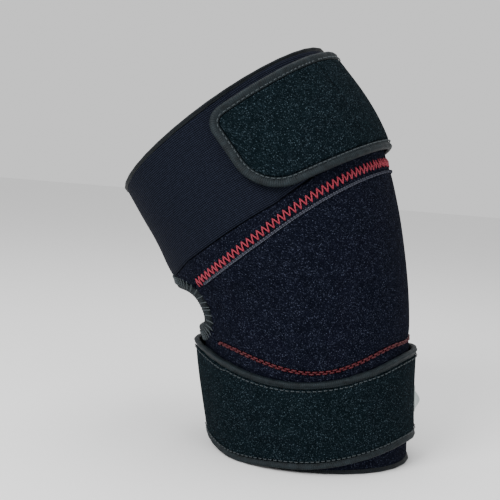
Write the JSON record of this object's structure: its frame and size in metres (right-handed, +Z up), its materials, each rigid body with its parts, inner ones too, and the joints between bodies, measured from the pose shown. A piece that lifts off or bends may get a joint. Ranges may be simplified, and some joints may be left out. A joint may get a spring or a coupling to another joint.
{
  "type": "knee brace",
  "caption": "Bent pull-on neoprene knee sleeve with a window behind the knee and two hook-and-loop wrap straps.",
  "frame": {"origin": "middle of the bounding box on the floor, with the sleeve standing on its lower rim", "axes": "+Z up the shin, +X towards the kneecap, -Y towards the outer side of the leg, where the upper strap closes"},
  "size_m": [0.1822, 0.1508, 0.2345],
  "materials": {
    "knit": "smooth nylon knit bonded on foam, faint sheen",
    "loop": "brushed loop pile bonded on foam, matt with bright specks",
    "strap_loop": "brushed loop pile on the straps, slightly greener than the sleeve",
    "lining": "plain nylon jersey, matt",
    "binding": "ribbed elastic tape, satin",
    "red_thread": "bulked polyester thread",
    "grey_thread": "polyester thread",
    "hook_tape": "nylon hook tape, rough",
    "tag": "blank woven ribbon"
  },
  "bodies": {
    "shin_cuff": {"shin_band": "loop", "shin_lining": "lining", "shin_rim_binding": "binding", "lower_seam_thread": "red_thread", "centre_panel": "loop", "centre_lining": "lining", "window_binding": "binding", "lower_strap_wrap": "strap_loop", "lower_wrap_binding_top": "binding", "lower_wrap_binding_bottom": "binding", "lower_wrap_topstitch": "grey_thread", "lower_anchor_stitch": "grey_thread", "size_tag": "tag"},
    "thigh_cuff": {"thigh_band": "knit", "thigh_joining_strip": "loop", "thigh_lining": "lining", "thigh_rim_binding": "binding", "thigh_closing_seam": "grey_thread", "upper_seam_thread": "red_thread", "upper_seam_topstitch": "grey_thread", "upper_strap_wrap": "strap_loop", "upper_wrap_binding_top": "binding", "upper_wrap_binding_bottom": "binding", "upper_wrap_topstitch": "grey_thread", "upper_anchor_stitch": "grey_thread", "upper_landing_patch": "loop"},
    "upper_tip": {"upper_strap_tip": "strap_loop", "upper_tip_binding": "binding", "upper_tip_topstitch": "grey_thread", "upper_hook_patch": "hook_tape"},
    "lower_tip": {"lower_strap_tip": "strap_loop", "lower_tip_binding": "binding", "lower_tip_topstitch": "grey_thread", "lower_hook_patch": "hook_tape"}
  },
  "joints": [
    {"name": "knee_flexion", "type": "hinge", "parent": "shin_cuff", "child": "thigh_cuff", "pos_m": [0.0247, 0.001, 0.112], "axis": [0, -1, 0], "range_deg": [-40, 12], "stiffness_Nm_per_rad": 3, "deforming": ["centre_panel", "centre_lining", "window_binding"]},
    {"name": "upper_strap_peel", "type": "hinge", "parent": "thigh_cuff", "child": "upper_tip", "pos_m": [0.0386, -0.0351, 0.2078], "axis": [-0.5917, -0.0036, 0.8061], "range_deg": [0, 110]},
    {"name": "lower_strap_peel", "type": "hinge", "parent": "shin_cuff", "child": "lower_tip", "pos_m": [-0.0381, -0.0124, 0.0389], "axis": [-0.197, -0.0237, 0.9801], "range_deg": [0, 110]}
  ]
}
